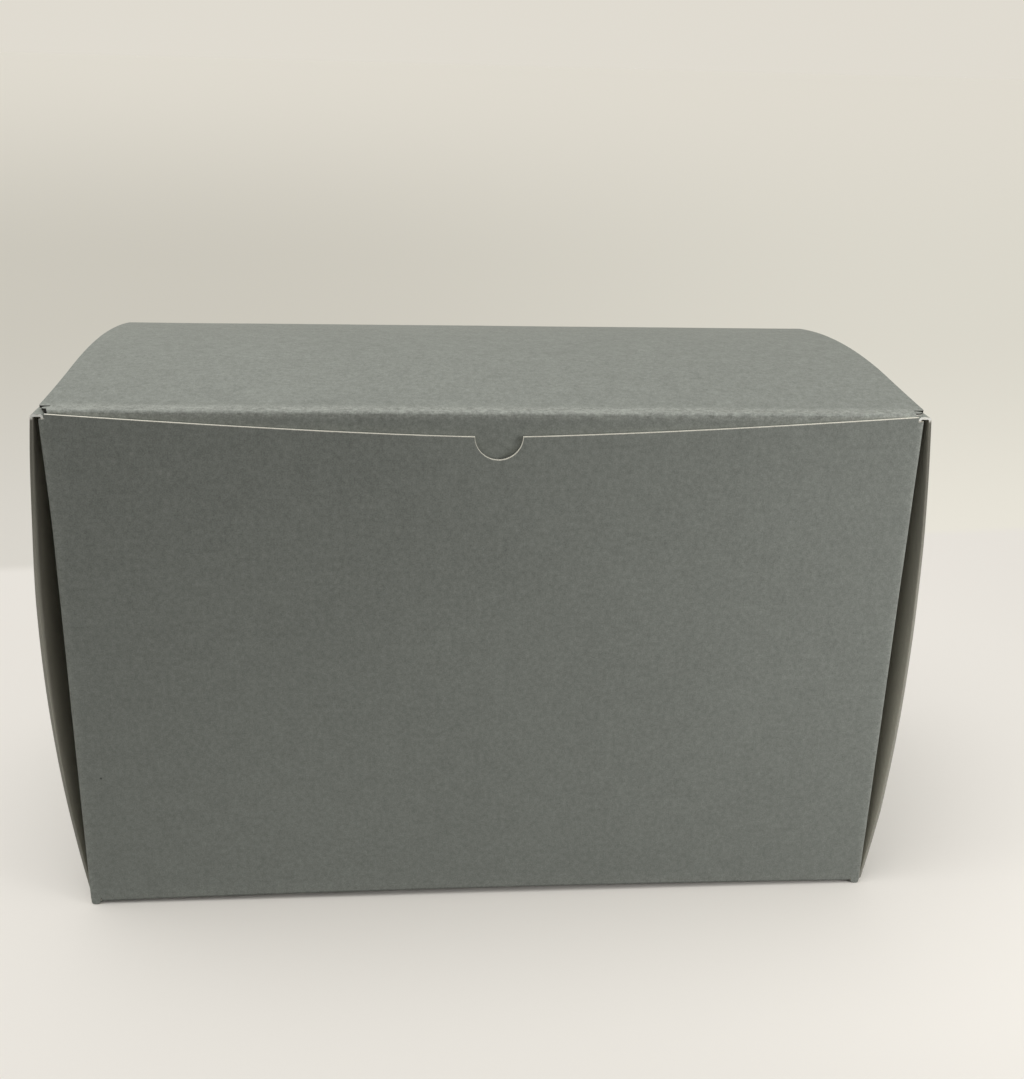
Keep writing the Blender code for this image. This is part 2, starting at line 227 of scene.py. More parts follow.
# Painted shade on the side walls' free edges: how high it starts and is full on the cut edge and on the
# lining, how far from the middle of the box it starts and is full on the lining, and how much it
# darkens the lining
PAINTED_SHADE_CUT = (0.16, 0.245)
PAINTED_SHADE_RISE = (0.07, 0.235)
PAINTED_SHADE_REACH = (0.086, 0.097)
PAINTED_SHADE_DEPTH = 0.48

# Grain of the board, as noise: its scale in waves per metre, detail, roughness, and the values
# that its usual range is stretched to
LINER_GRAIN = (
    (1500.0, 3.0, 0.6, -0.19, 0.19),
    (420.0, 2.0, 0.55, -0.11, 0.11),
    (110.0, 3.0, 0.55, -0.05, 0.05),
    (14.0, 2.0, 0.5, -0.025, 0.025),
)
LINING_GRAIN = ((1100.0, 3.0, 0.6, -0.04, 0.04), (90.0, 3.0, 0.5, -0.025, 0.025))
CORE_GRAIN = ((1500.0, 3.0, 0.7, -0.09, 0.09),)
LINER_GLOSS = (600.0, 2.0, 0.5, 0.68, 0.78)
LINING_GLOSS = (500.0, 2.0, 0.5, 0.72, 0.84)
RUBBED = (800.0, 3.0, 0.65, 0.2, 1.2)
CRUMPLED = (620.0, 3.0, 0.6, -0.20, 0.20)
RAGGED = (1800.0, 2.0, 0.5, -0.05, 0.05)
FRAY = (520.0, 3.0, 0.6, -0.5, 1.9)
NOISE_RANGE = (0.3, 0.7)

# How a crumpled fold's tone is drawn out along the fold, and how far wear lightens the liner
CRUMPLE_STRETCH = (0.5, 1.0, 1.0)
WEAR_SHARE = 0.45

# Specks in the paper: cells per metre, size, share of the cells, and change of tone
PALE_SPECKS = (420.0, 0.10, 0.25, 0.10)
DARK_SPECKS = (300.0, 0.09, 0.2, -0.13)
DARK_SHIFT = (0.31, 0.17, 0.23)
LINING_SPECKS = (240.0, 0.08, 0.2, -0.16)

# Tooth of the paper: its fine and coarse noise, the coarse one's weight, and the bump's depth
TOOTH_FINE = (2600.0, 3.0, 0.6)
TOOTH_COARSE = (700.0, 2.0, 0.5)
COARSE_WEIGHT = 1.6
LINER_TOOTH = 0.00004
CORE_TOOTH = 0.00008

# Plies of a cut edge: their waves through the board in radians, their change of tone, and the
# share of the thickness that the grey skin takes
PLY_WAVES = 26.0
PLY_TONE = 0.05
SKIN = 0.09

# Distance across the box beyond which a point lies on a side wall
WALL_START = HALF_WIDTH + CLEAR

# Heights between which a side wall's cut edge gives way to the frayed end of its ridge, whitened there
# as a painted highlight
RIDGE_START = HEIGHT - 0.003
RIDGE_FULL = HEIGHT - 0.001

# Fixed shader values of the finishes
BOARD_IOR = 1.42
CORE_FINISH = {"Roughness": 0.85, "IOR": 1.40}
FLOOR_FINISH = {"Roughness": 0.9, "Specular IOR Level": 0.1}

# Marks on the front panel's face: its scraped edge, three light scuffs and a black speck
FRONT_FACE = BOARD / 3 - HALF_DEPTH
BRUISE = 0.00022
SCUFFS = ((-0.162, -0.1, 0.238), (-0.150, -0.1, 0.229), (-0.146, -0.1, 0.2285))
SCUFF_RADIUS = 0.0016
SPECK = (-0.189, -0.1, 0.073)
SPECK_RADIUS = 0.0009
SPECK_COLOUR = (0.02, 0.02, 0.02)

# Painted light and shade: the front panel's left is lighter low down and darker high up: between which
# places across the box that sets in, the height at which it turns, and the change per metre of height
PAINTED_SHADING_ACROSS = (0.10, -0.12)
PAINTED_SHADING_TURN = 0.13
PAINTED_SHADING_SLOPE = 0.95

# Floor: its half size, the distances over which it fades to the far tone, the line behind the box where
# a wall would stand, with its slant and soft edge, the place before the box that the wall's nearness is
# taken from, and the runs over which the wall's painted light and shade change
FLOOR_REACH = 60.0
FLOOR_FADE = (1.5, 12.0)
WALL_LINE = 0.395
WALL_SLANT = 0.0945
WALL_EDGE = 0.012
WALL_EYE = 0.65
WALL_NEARER = (0.5, 1.0)
WALL_FARTHER = (0.4, 0.0)
WALL_ACROSS = (-0.20, 0.45)

# Lamps: a broad sun overhead, and two soft panels at the right and above the left
LAMPS = {
    "ceiling": {
        "kind": "SUN",
        "place": (-0.45, -0.17, 1.95),
        "aim": (0.0, 0.0, 0.0),
        "energy": 1.27,
        "angle": math.radians(60.0),
    },
    "window": {
        "kind": "AREA",
        "place": (0.7, -0.5, 0.3),
        "aim": (0.28, -0.1, 0.17),
        "energy": 0.375,
        "size": 0.3,
        "spread": math.radians(60.0),
    },
    "lantern": {
        "kind": "AREA",
        "place": (-0.35, -0.1, 0.7),
        "aim": (-0.12, -0.05, 0.26),
        "energy": 0.235,
        "size": 0.4,
        "spread": math.radians(120.0),
    },
}

# Camera: yaw, pitch and roll in degrees, place, and lens on a sensor of a width in millimetres
CAMERA_TURN = (-5.284, 20.475, -1.594)
CAMERA_PLACE = (-0.0433, -0.6651, 0.4084)
CAMERA_LENS = 45.554
CAMERA_SENSOR = 36.0


# Plane geometry

def polar(centre, radius, angle):
    """Point at an angle and a distance from a centre."""
    return (centre[0] + radius * math.cos(angle), centre[1] + radius * math.sin(angle))


def arc(centre, radius, start, end, steps):
    """Points along a circular arc, both ends included."""
    return [polar(centre, radius, start + (end - start) * i / steps) for i in range(steps + 1)]


def fillet(before, corner, after, radius, steps=FOLD_STEPS):
    """The round that replaces a corner of a polyline."""
    corner = Vector(corner)
    back = (Vector(before) - corner).normalized()
    forth = (Vector(after) - corner).normalized()
    half = back.angle(forth) / 2
    centre = corner + (back + forth).normalized() * (radius / math.sin(half))
    start = corner + back * (radius / math.tan(half)) - centre
    end = corner + forth * (radius / math.tan(half)) - centre
    first = math.atan2(start.y, start.x)
    return arc(centre, radius, first, first - start.angle_signed(end), steps)


def spread(low, high, step):
    """Evenly spaced values from low to high, both included, about a step apart."""
    count = max(round(abs(high - low) / step), 1)
    return [low + (high - low) * i / count for i in range(count + 1)]


def round_corners(points, radii, steps=FOLD_STEPS):
    """Replace the numbered corners of an outline by rounds."""
    rounded = []
    for i, point in enumerate(points):
        if i in radii:
            rounded += fillet(points[i - 1], point, points[(i + 1) % len(points)], radii[i], steps)
        else:
            rounded.append(point)
    return rounded


def mirrored(right_half):
    """A closed outline from its right half, which runs from bottom to top."""
    return right_half + [(-u, v) for u, v in reversed(right_half)]


def ease(value):
    """Smooth step from 0 to 1."""
    value = min(max(value, 0.0), 1.0)
    return value * value * (3 - 2 * value)


class Section:
    """Section path of a folded strip, in named stretches, with lengths along it."""

    def __init__(self):
        self.points = []
        self.lengths = []
        self.ends = {}

    def add(self, name, points):
        """Continue the path. The stretch runs from the path's present end to its last point."""
        start = self.lengths[-1] if self.lengths else 0.0
        for point in points:
            point = Vector(point)
            if not self.points:
                self.lengths.append(0.0)
                self.points.append(point)
            elif (point - self.points[-1]).length > 1e-7:
                self.lengths.append(self.lengths[-1] + (point - self.points[-1]).length)
                self.points.append(point)
        self.ends[name] = (start, self.lengths[-1])

    def scores(self, start, end):
        """Lengths at which the strip turns between two lengths."""
        return [s for s in self.lengths if start + CLEAR / 4 < s < end - CLEAR / 4]

    def middle(self):
        """Half the strip's length."""
        return self.lengths[-1] / 2


# Section paths of the blank

def lid_top(share):
    """Point of the lid's top between its front and rear folds."""
    slope = math.atan(4 * LID_RISE / (LID_AXIS.y - FLAP_AXIS.y))
    normal = Vector((math.sin(slope), math.cos(slope)))
    front = Vector((FLAP_AXIS.y - BOARD * normal.x, FLAP_AXIS.z + BOARD * normal.y))
    rear = Vector((LID_AXIS.y + BOARD / 2 * normal.x, LID_AXIS.z + BOARD / 2 * normal.y))
    return front.lerp(rear, share) + Vector((0.0, 4 * LID_RISE * share * (1 - share)))


def long_strip():
    """Section of the long strip in y and z: flap, lid, back, base and front, liner outside."""
    hinge = (LID_AXIS.y, LID_AXIS.z)
    flap_face = FLAP_AXIS.y - BOARD
    reach = hinge[0] - flap_face
    front_corner = (flap_face, lid_top(0.0).y)
    rear_corner = (HALF_DEPTH, lid_top(1.0).y)
    tuck = fillet((flap_face, 0.0), front_corner, lid_top(LID_ENDS[0]), TUCK_FOLD_RADIUS)
    rear = fillet(lid_top(LID_ENDS[1]), rear_corner, (HALF_DEPTH, 0.0), LID_FOLD_RADIUS)

    def flap_arc(low, high):
        first = -math.pi + math.asin((hinge[1] - low) / reach)
        last = -math.pi + math.asin((hinge[1] - high) / reach)
        return arc(hinge, reach, first, last, FOLD_STEPS)

    def crown(low, high, step):
        front, back = lid_top(0.0).x, lid_top(1.0).x
        return [lid_top((y - front) / (back - front)) for y in spread(low, high, step)]

    slit = tuck[-1][0] + SHOULDER
    wrinkled = slit + WRINKLE_RUN
    rear_edge = rear[0][0] - FOLD_MARGIN
    foot = BASE_FOLD_RADIUS
    straight = foot + RELIEF_RISE
    back_foot = (HALF_DEPTH - foot, foot)
    front_foot = (-HALF_DEPTH + foot, foot)
    strip = Section()
    strip.add("flap", flap_arc(FLAP_TIP, tuck[0][1] - FLAP_MARGIN))
    strip.add("tuck fold", flap_arc(tuck[0][1] - FLAP_MARGIN, tuck[0][1])[:-1] + tuck)
    strip.add("shoulder", crown(tuck[-1][0], slit, ROW_STEP)[1:])
    lid = crown(slit, wrinkled, ROW_STEP)[1:] + crown(wrinkled, rear_edge, COLUMN_STEP * 2)[1:]
    strip.add("lid", lid)
    strip.add("lid fold", rear + [(HALF_DEPTH, rear[-1][1] - FOLD_MARGIN)])
    strip.add("back", [(HALF_DEPTH, straight), (HALF_DEPTH, foot)])
    strip.add("back foot", arc(back_foot, foot, 0.0, -math.pi / 2, FOLD_STEPS))
    strip.add("base", [(-HALF_DEPTH + foot, 0.0)])
    strip.add("front foot", arc(front_foot, foot, -math.pi / 2, -math.pi, FOLD_STEPS))
    strip.add("front", [(-HALF_DEPTH, straight), (-HALF_DEPTH, HEIGHT + BOARD)])
    return strip


def side_strip(bow, foot_out):
    """Section of a bowed side wall in x and z: foot, outer wall, ridge and inner wall."""
    foot = (HALF_WIDTH + foot_out, 0.0)
    shoulder = (HALF_WIDTH + RIDGE_OUT, HEIGHT)
    inner_top = (INNER_FACE, HEIGHT)
    start = (INNER_FACE, 0.0)
    wall = []
    for share in [i / WALL_STEPS for i in range(1, WALL_STEPS)]:
        out = foot[0] + (shoulder[0] - foot[0]) * share + 4 * bow * share * (1 - share)
        wall.append((out, HEIGHT * share))
    strip = Section()
    strip.add("foot", fillet(start, foot, wall[0], FOOT_FOLD_RADIUS))
    strip.add("wall", wall)
    strip.add("shoulder", fillet(wall[-1], shoulder, inner_top, RIDGE_FOLD_RADIUS))
    strip.add("roll", fillet(shoulder, inner_top, start, RIDGE_FOLD_RADIUS))
    strip.add("inner wall", [(INNER_FACE, 0.0)])
    return strip


def across_strip(inward):
    """Plan of the front or back panel with its corner tabs, as x and a shift in y."""
    centre = (HALF_WIDTH - CORNER_FOLD_RADIUS, CORNER_FOLD_RADIUS)
    turn = arc(centre, CORNER_FOLD_RADIUS, -math.pi / 2, 0.0, FOLD_STEPS)
    right = turn + [(HALF_WIDTH, HALF_DEPTH + TAB_HIGH[1])]
    strip = Section()
    strip.add("left", [(-x, inward * y) for x, y in reversed(right)])
    strip.add("right", [(x, inward * y) for x, y in right])
    return strip


def new_object(name, data):
    """An object of some data, linked to the scene."""
    made = bpy.data.objects.new(name, data)
    bpy.context.scene.collection.objects.link(made)
    return made


def section_curve(name, points):
    """Poly curve through points in space, for a sheet to follow."""
    data = bpy.data.curves.new(name, "CURVE")
    data.dimensions = "3D"
    spline = data.splines.new("POLY")
    spline.points.add(len(points) - 1)
    for knot, point in zip(spline.points, points):
        knot.co = (*point, 1.0)
    return new_object(name, data)


# Cutting and folding

def score(bm, normal, places):
    """Cut a flat sheet's faces along parallel lines, one line after the other."""
    ahead = bm.faces[:]
    for place in sorted(places):
        parts = set(ahead)
        for face in ahead:
            parts.update(face.verts)
            parts.update(face.edges)
        cut = bmesh.ops.bisect_plane(
            bm, geom=list(parts), dist=1e-6, plane_co=normal * place, plane_no=normal)
        faces = [part for part in cut["geom"] if isinstance(part, bmesh.types.BMFace)]
        ahead = [face for face in faces if face.calc_center_median().dot(normal) > place]


def cut_sheet(name, outline, across=(), along=(), crease=None, lift=None, stiff=None):
    """Flat cut of board, u across and v along, with points on every scored or numbered line.

    crease, lift and stiff give each point's wear, its rise off the floor, and whether it
    stays straight where the sheet beside it folds.
    """
    bm = bmesh.new()
    bm.faces.new([bm.verts.new((u, v, 0.0)) for u, v in outline])
    score(bm, Vector((1.0, 0.0, 0.0)), across)
    score(bm, Vector((0.0, 1.0, 0.0)), along)
    for face in bm.faces:
        if face.normal.z < 0:
            face.normal_flip()
    for key, rule in (("crease", crease), ("lift", lift), ("stiff", stiff)):
        layer = bm.verts.layers.float.new(key)
        for vert in bm.verts:
            vert[layer] = rule(vert.co.x, vert.co.y) if rule else 0.0
    mesh = bpy.data.meshes.new(name)
    bm.to_mesh(mesh)
    bm.free()
    return new_object(name, mesh)


def node(tree, kind, inputs=None, **settings):
    """Add a node, set it up and join or fill its inputs, given by name or number."""
    made = tree.nodes.new(kind)
    for key, value in settings.items():
        setattr(made, key, value)
    for key, value in (inputs or {}).items():
        if isinstance(value, bpy.types.NodeSocket):
            tree.links.new(value, made.inputs[key])
        else:
            made.inputs[key].default_value = value
    return made


def maths(tree, operation, *values, clamp=False):
    """One Math node."""
    inputs = dict(enumerate(values))
    return node(tree, "ShaderNodeMath", inputs, operation=operation, use_clamp=clamp).outputs[0]


def vector_maths(tree, operation, *values):
    """One Vector Math node that gives a vector."""
    inputs = dict(enumerate(values))
    return node(tree, "ShaderNodeVectorMath", inputs, operation=operation).outputs[0]


def product(tree, *values):
    """Several values multiplied."""
    result = values[0]
    for value in values[1:]:
        result = maths(tree, "MULTIPLY", result, value)
    return result


def split(tree, vector):
    """The three parts of a vector."""
    return node(tree, "ShaderNodeSeparateXYZ", {0: vector}).outputs


def scaled(tree, vector, factor):
    """A vector or colour times a factor."""
    inputs = {0: vector, "Scale": factor}
    return node(tree, "ShaderNodeVectorMath", inputs, operation="SCALE").outputs[0]


def distance(tree, vector, place):
    """Distance of a vector from a place."""
    inputs = {0: vector, 1: place}
    return node(tree, "ShaderNodeVectorMath", inputs, operation="DISTANCE").outputs["Value"]


def fade(tree, value, start, end):
    """Smooth step of a value from 0 at start to 1 at end."""
    low, high = sorted((start, end))
    inputs = {"Value": value, "From Min": low, "From Max": high}
    inputs.update({"To Min": 0.0 if start < end else 1.0, "To Max": 1.0 if start < end else 0.0})
    return node(tree, "ShaderNodeMapRange", inputs, interpolation_type="SMOOTHSTEP").outputs[0]


def fold_tree():
    """Node group that folds a flat sheet along two section curves and ripples its face."""
    tree = bpy.data.node_groups.new("fold_board", "GeometryNodeTree")
    sockets = (
        ("Sheet", "NodeSocketGeometry"),
        ("Across section", "NodeSocketObject"),
        ("Across start", "NodeSocketFloat"),
        ("Along section", "NodeSocketObject"),
        ("Straight beyond", "NodeSocketFloat"),
        ("Corner push", "NodeSocketFloat"),
        ("Wave height", "NodeSocketFloat"),
        ("Wave length", "NodeSocketFloat"),
        ("Wrinkle height", "NodeSocketFloat"),
        ("Wrinkle length", "NodeSocketFloat"),
        ("Wrinkle width", "NodeSocketFloat"),
        ("Seed", "NodeSocketFloat"),
        ("Liner", "NodeSocketMaterial"),
    )
    for name, kind in sockets:
        tree.interface.new_socket(name, in_out="INPUT", socket_type=kind)
    tree.interface.new_socket("Board", in_out="OUTPUT", socket_type="NodeSocketGeometry")
    given = node(tree, "NodeGroupInput").outputs
    flat_at = split(tree, node(tree, "GeometryNodeInputPosition").outputs[0])
    stored = {}
    for key in ("crease", "lift", "stiff"):
        named = node(tree, "GeometryNodeInputNamedAttribute", {"Name": key}, data_type="FLOAT")
        stored[key] = named.outputs["Attribute"]

    def sample(section, length):
        source = node(tree, "GeometryNodeObjectInfo", {"Object": section}).outputs["Geometry"]
        inputs = {"Curves": source, "Length": length}
        return node(tree, "GeometryNodeSampleCurve", inputs, mode="LENGTH").outputs

    held = maths(tree, "MULTIPLY", stored["stiff"], given["Straight beyond"])
    free = maths(tree, "MULTIPLY", maths(tree, "SUBTRACT", 1.0, stored["stiff"]), flat_at[1])
    folded_at = maths(tree, "ADD", held, free)
    beyond = maths(tree, "SUBTRACT", flat_at[1], folded_at)
    across_at = maths(tree, "ADD", flat_at[0], given["Across start"])
    across = sample(given["Across section"], across_at)
    along = sample(given["Along section"], folded_at)
    rise = node(tree, "ShaderNodeCombineXYZ", {"Z": stored["lift"]}).outputs[0]
    folded = vector_maths(tree, "ADD", across["Position"], along["Position"])
    folded = vector_maths(tree, "ADD", folded, scaled(tree, along["Tangent"], beyond))
    folded = vector_maths(tree, "ADD", folded, rise)
    push = given["Corner push"]
    for side, run in zip(split(tree, folded), (PUSH_ACROSS, PUSH_ALONG, PUSH_UP)):
        push = maths(tree, "MULTIPLY", push, fade(tree, side, *run))
    push = maths(tree, "MULTIPLY", push, -1.0)
    outward = node(tree, "ShaderNodeCombineXYZ", {"X": push}).outputs[0]
    folded = vector_maths(tree, "ADD", folded, outward)
    board = node(tree, "GeometryNodeSetPosition", {"Geometry": given["Sheet"], "Position": folded})

    def ripple(geometry, lengths, height, share):
        position = node(tree, "GeometryNodeInputPosition").outputs[0]
        stretched = vector_maths(tree, "DIVIDE", position, lengths)
        inputs = {"Vector": stretched, "W": given["Seed"], "Scale": 1.0, "Detail": 2.0}
        value = node(tree, "ShaderNodeTexNoise", inputs, noise_dimensions="4D").outputs[0]
        out = product(tree, maths(tree, "SUBTRACT", value, 0.5), height, share)
        normal = node(tree, "GeometryNodeInputNormal").outputs[0]
        inputs = {"Geometry": geometry, "Offset": scaled(tree, normal, out)}
        return node(tree, "GeometryNodeSetPosition", inputs).outputs[0]

    wave = node(tree, "ShaderNodeCombineXYZ", {k: given["Wave length"] for k in "XYZ"}).outputs[0]
    sizes = {"X": given["Wrinkle length"], "Y": given["Wrinkle width"], "Z": given["Wrinkle width"]}
    wrinkle = node(tree, "ShaderNodeCombineXYZ", sizes).outputs[0]
    waved = ripple(board.outputs[0], wave, given["Wave height"], 1.0)
    rippled = ripple(waved, wrinkle, given["Wrinkle height"], stored["crease"])
    real = node(tree, "GeometryNodeRealizeInstances", {0: rippled}).outputs[0]
    lined = node(tree, "GeometryNodeSetMaterial", {"Geometry": real, "Material": given["Liner"]})
    node(tree, "NodeGroupOutput", {0: lined.outputs[0]})
    return tree


def fold(sheet, sections, inputs, materials):
    """Fold a flat sheet, give it the board's thickness, and keep the result as a plain mesh."""
    for material in materials:
        sheet.data.materials.append(material)
    folding = sheet.modifiers.new("fold", "NODES")
    folding.node_group = FOLD_TREE
    values = {**RIPPLES, **inputs, "Liner": materials[0]}
    values["Across section"], values["Along section"] = sections
    for socket in FOLD_TREE.interface.items_tree:
        if socket.in_out == "INPUT" and socket.name in values:
            folding[socket.identifier] = values[socket.name]
    wall = sheet.modifiers.new("board", "SOLIDIFY")
    wall.thickness = BOARD
    wall.offset = -1.0
    wall.use_even_offset = True
    wall.use_rim = True
    wall.material_offset = 1
    wall.material_offset_rim = 2
    graph = bpy.context.evaluated_depsgraph_get()
    mesh = bpy.data.meshes.new_from_object(
        sheet.evaluated_get(graph), preserve_all_data_layers=True, depsgraph=graph)
    mesh.shade_smooth()
    mesh.set_sharp_from_angle(angle=SHARP_ANGLE)
    count = len(mesh.vertices)
    depth = mesh.attributes.new("depth", "FLOAT", "POINT")
    depth.data.foreach_set("value", [0.0] * (count // 2) + [1.0] * (count - count // 2))
    for spare in ("lift", "stiff"):
        mesh.attributes.remove(mesh.attributes[spare])
    name = sheet.name
    flat = sheet.data
    bpy.data.objects.remove(sheet, do_unlink=True)
    bpy.data.meshes.remove(flat)
    mesh.name = name
    return new_object(name, mesh)


# Panels

LONG = long_strip()
SIDES = {name: side_strip(SIDE_BOW[name], FOOT_OUT[name]) for name in SIDE_BOW}
FRONT_PLAN = across_strip(1.0)
BACK_PLAN = across_strip(-1.0)


def fold_wear(lines, run, most):
    """Rule for a sheet's wear, most on some lines along it and none beyond a run of them."""
    def wear(u, v):
        return most * (1.0 - ease(min(abs(v - line) for line in lines) / run))
    return wear


def base_lift(x):
    """Height of the front and back base folds above the floor at a place across the box."""
    if abs(x) <= ARCH_HALF:
        return LIFT_AT_ENDS + (LIFT_AT_MIDDLE - LIFT_AT_ENDS) * (1 - (x / ARCH_HALF) ** 2)
    return LIFT_AT_ENDS * max(HALF_WIDTH - abs(x), 0.0) / NUB_WIDTH


def front_drop(x):
    """How far the lid's front fold stands below its straight line at a place across it."""
    return FRONT_DROP + FRONT_LEAN * x / LID_HALF_WIDTH


def lid_columns(half_width):
    """Places across the box that the lid, its strips and its flap share."""
    places = spread(-SLIT_START, SLIT_START, COLUMN_STEP)
    for side in (-1, 1):
        places += [side * (SLIT_START + COLUMN_STEP * i) for i in range(1, EAR_COLUMNS + 1)]
    return [u for u in places if abs(u) < half_width]


def base_sheet():
    """Base with open slots for the lock tabs in its side edges."""
    start, end = LONG.ends["base"]
    middle = (start + end) / 2
    edge = SIDES["right"].points[0].x
    half = [(edge, start)]
    for centre in (-LOCK_SPACING / 2, LOCK_SPACING / 2):
        low = middle + centre - LOCK_LENGTH / 2 - CLEAR
        high = middle + centre + LOCK_LENGTH / 2 + CLEAR
        half += [(edge, low), (SCOOP_END, low), (SCOOP_END, high), (edge, high)]
    half.append((edge, end))

    def lift(u, v):
        return base_lift(u) * ease(1.0 - min(v - start, end - v) / LIFT_RUN)

    across = spread(-SCOOP_END, SCOOP_END, SHEET_STEP)[1:-1]
    along = spread(start, end, SHEET_STEP / 2)[1:-1]
    wear = fold_wear((start, end), *WEAR["base"])
    return cut_sheet("base_board", mirrored(half), across, along, wear, lift)


def scoop_height(x):
    """Top edge of the front panel at a place across it."""
    return HEIGHT - SCOOP_DEPTH * (1 - (abs(x) / SCOOP_END) ** SCOOP_POWER)


def scooped_edge():
    """Top edge of the front panel from right to left, dipping round the thumb notch."""
    rim = (NOTCH_SHIFT, scoop_height(NOTCH_SHIFT + NOTCH_RADIUS))
    right = spread(SCOOP_END, NOTCH_SHIFT + NOTCH_RADIUS, SHEET_STEP)[:-1]
    left = spread(NOTCH_SHIFT - NOTCH_RADIUS, -SCOOP_END, SHEET_STEP)[1:]
    notch = arc(rim, NOTCH_RADIUS, 0.0, -math.pi, NOTCH_STEPS)
    return [(x, scoop_height(x)) for x in right] + notch + [(x, scoop_height(x)) for x in left]


def straight_edge():
    """Top edge of the back panel from right to left, at the lid's fold."""
    top = BASE_FOLD_RADIUS + LONG.ends["back"][1] - LONG.ends["back"][0]
    return [(SCOOP_END, top), (-SCOOP_END, top)]


def end_sheet(name, top_edge, foot, upward, plan):
    """Front or back panel with its base fold and its two corner tabs."""
    fold_low, fold_high = sorted(LONG.ends[foot], key=lambda s: upward * s)
    reach = plan.middle()
    bend = HALF_WIDTH - CORNER_FOLD_RADIUS
    relief = ARCH_HALF - RELIEF_WIDTH
    run, most = WEAR["end"]

    def at_height(z):
        return fold_high + upward * (z - BASE_FOLD_RADIUS)

    half = [
        (relief, fold_low),
        (relief, at_height(BASE_FOLD_RADIUS + RELIEF_RISE)),
        (ARCH_HALF, at_height(BASE_FOLD_RADIUS + RELIEF_RISE)),
        (ARCH_HALF, at_height(FLOOR_GAP)),
        (bend + CORNER_FOLD_RADIUS, at_height(FLOOR_GAP)),
        (bend + CORNER_FOLD_RADIUS, at_height(TAB_FOOT)),
        (reach - TAB_CHAMFER, at_height(TAB_FOOT)),
        (reach, at_height(TAB_FOOT + TAB_CHAMFER)),
        (reach, at_height(TAB_TOP - TAB_CHAMFER)),
        (reach - TAB_CHAMFER, at_height(TAB_TOP)),
        (SCOOP_END, at_height(TAB_TOP)),
    ]
    right = round_corners(half, {3: NUB_RADIUS, 4: NUB_RADIUS})
    left = [(-u, v) for u, v in reversed(right)]
    outline = right + [(x, at_height(z)) for x, z in top_edge] + left

    def nub(u, v):
        beside_fold = upward * (v - fold_high) < RELIEF_RISE
        return 1.0 if beside_fold and abs(u) > relief + RELIEF_WIDTH / 2 else 0.0

    def lift(u, v):
        if abs(u) > relief + RELIEF_WIDTH / 2:
            return 0.0
        return base_lift(u) * min(max(1 - upward * (v - fold_high) / LIFT_RUN, 0.0), 1.0)

    def wear(u, v):
        from_corner = abs(abs(u) - bend - CORNER_FOLD_RADIUS * math.pi / 4)
        from_base = abs(v - (fold_low + fold_high) / 2)
        return most * (1.0 - ease(min(from_corner, from_base) / run))

    folds = [s - reach for s in plan.scores(0.0, 2 * reach)]
    beside = [side * (bend - gap) for side in (-1, 1) for gap in CORNER_GAPS]
    across = spread(-relief, relief, SHEET_STEP)[1:-1] + folds + beside
    rises = [at_height(z) for z in spread(BASE_FOLD_RADIUS, HEIGHT, SHEET_STEP)[:-1]]
    along = LONG.scores(*LONG.ends[foot]) + rises
    return cut_sheet(name, outline, across, along, wear, lift, nub)


def side_sheet(name, section, taper):
    """Outer wall, ridge and inner wall of one side, with two lock tabs at the inner wall."""
    drop = CLEAR + section.ends["roll"][1]
    floor = section.lengths[-1]
    sill = floor - BOARD - INNER_WALL_LIFT
    tip = floor - FLOOR_GAP
    set_back, rise = taper
    half = [(WALL_REACH - set_back - WALL_RELIEF, 0.0), (WALL_REACH - set_back, WALL_RELIEF)]
    half += [(WALL_REACH, rise), (WALL_REACH, drop), (INNER_WALL_REACH, drop), (INNER_WALL_REACH, sill)]
    low = LOCK_SPACING / 2 - LOCK_LENGTH / 2
    high = LOCK_SPACING / 2 + LOCK_LENGTH / 2
    half += [(high, sill), (high, tip - LOCK_CHAMFER), (high - LOCK_CHAMFER, tip)]
    half += [(low + LOCK_CHAMFER, tip), (low, tip - LOCK_CHAMFER), (low, sill)]
    across = spread(-INNER_WALL_REACH, INNER_WALL_REACH, SHEET_STEP)[1:-1]
    ridge = (section.ends["shoulder"][0] + section.ends["roll"][1]) / 2
    along = section.scores(0.0, floor) + spread(drop, sill, SHEET_STEP)[1:-1]
    wear = fold_wear((0.0, ridge), *WEAR["side"])
    return cut_sheet(name, mirrored(half), across, along, wear)


def flap_sheet():
    """Tuck flap with rounded corners."""
    start, end = LONG.ends["flap"]
    half = [(FLAP_HALF_WIDTH, start), (FLAP_HALF_WIDTH, end)]
    rounds = {0: FLAP_CORNER_RADIUS, 3: FLAP_CORNER_RADIUS}
    outline = round_corners(mirrored(half), rounds, NOTCH_STEPS)

    def lift(u, v):
        return -front_drop(u)

    along = LONG.scores(start, end)
    return cut_sheet("flap_board", outline, lid_columns(FLAP_HALF_WIDTH), along, None, lift)


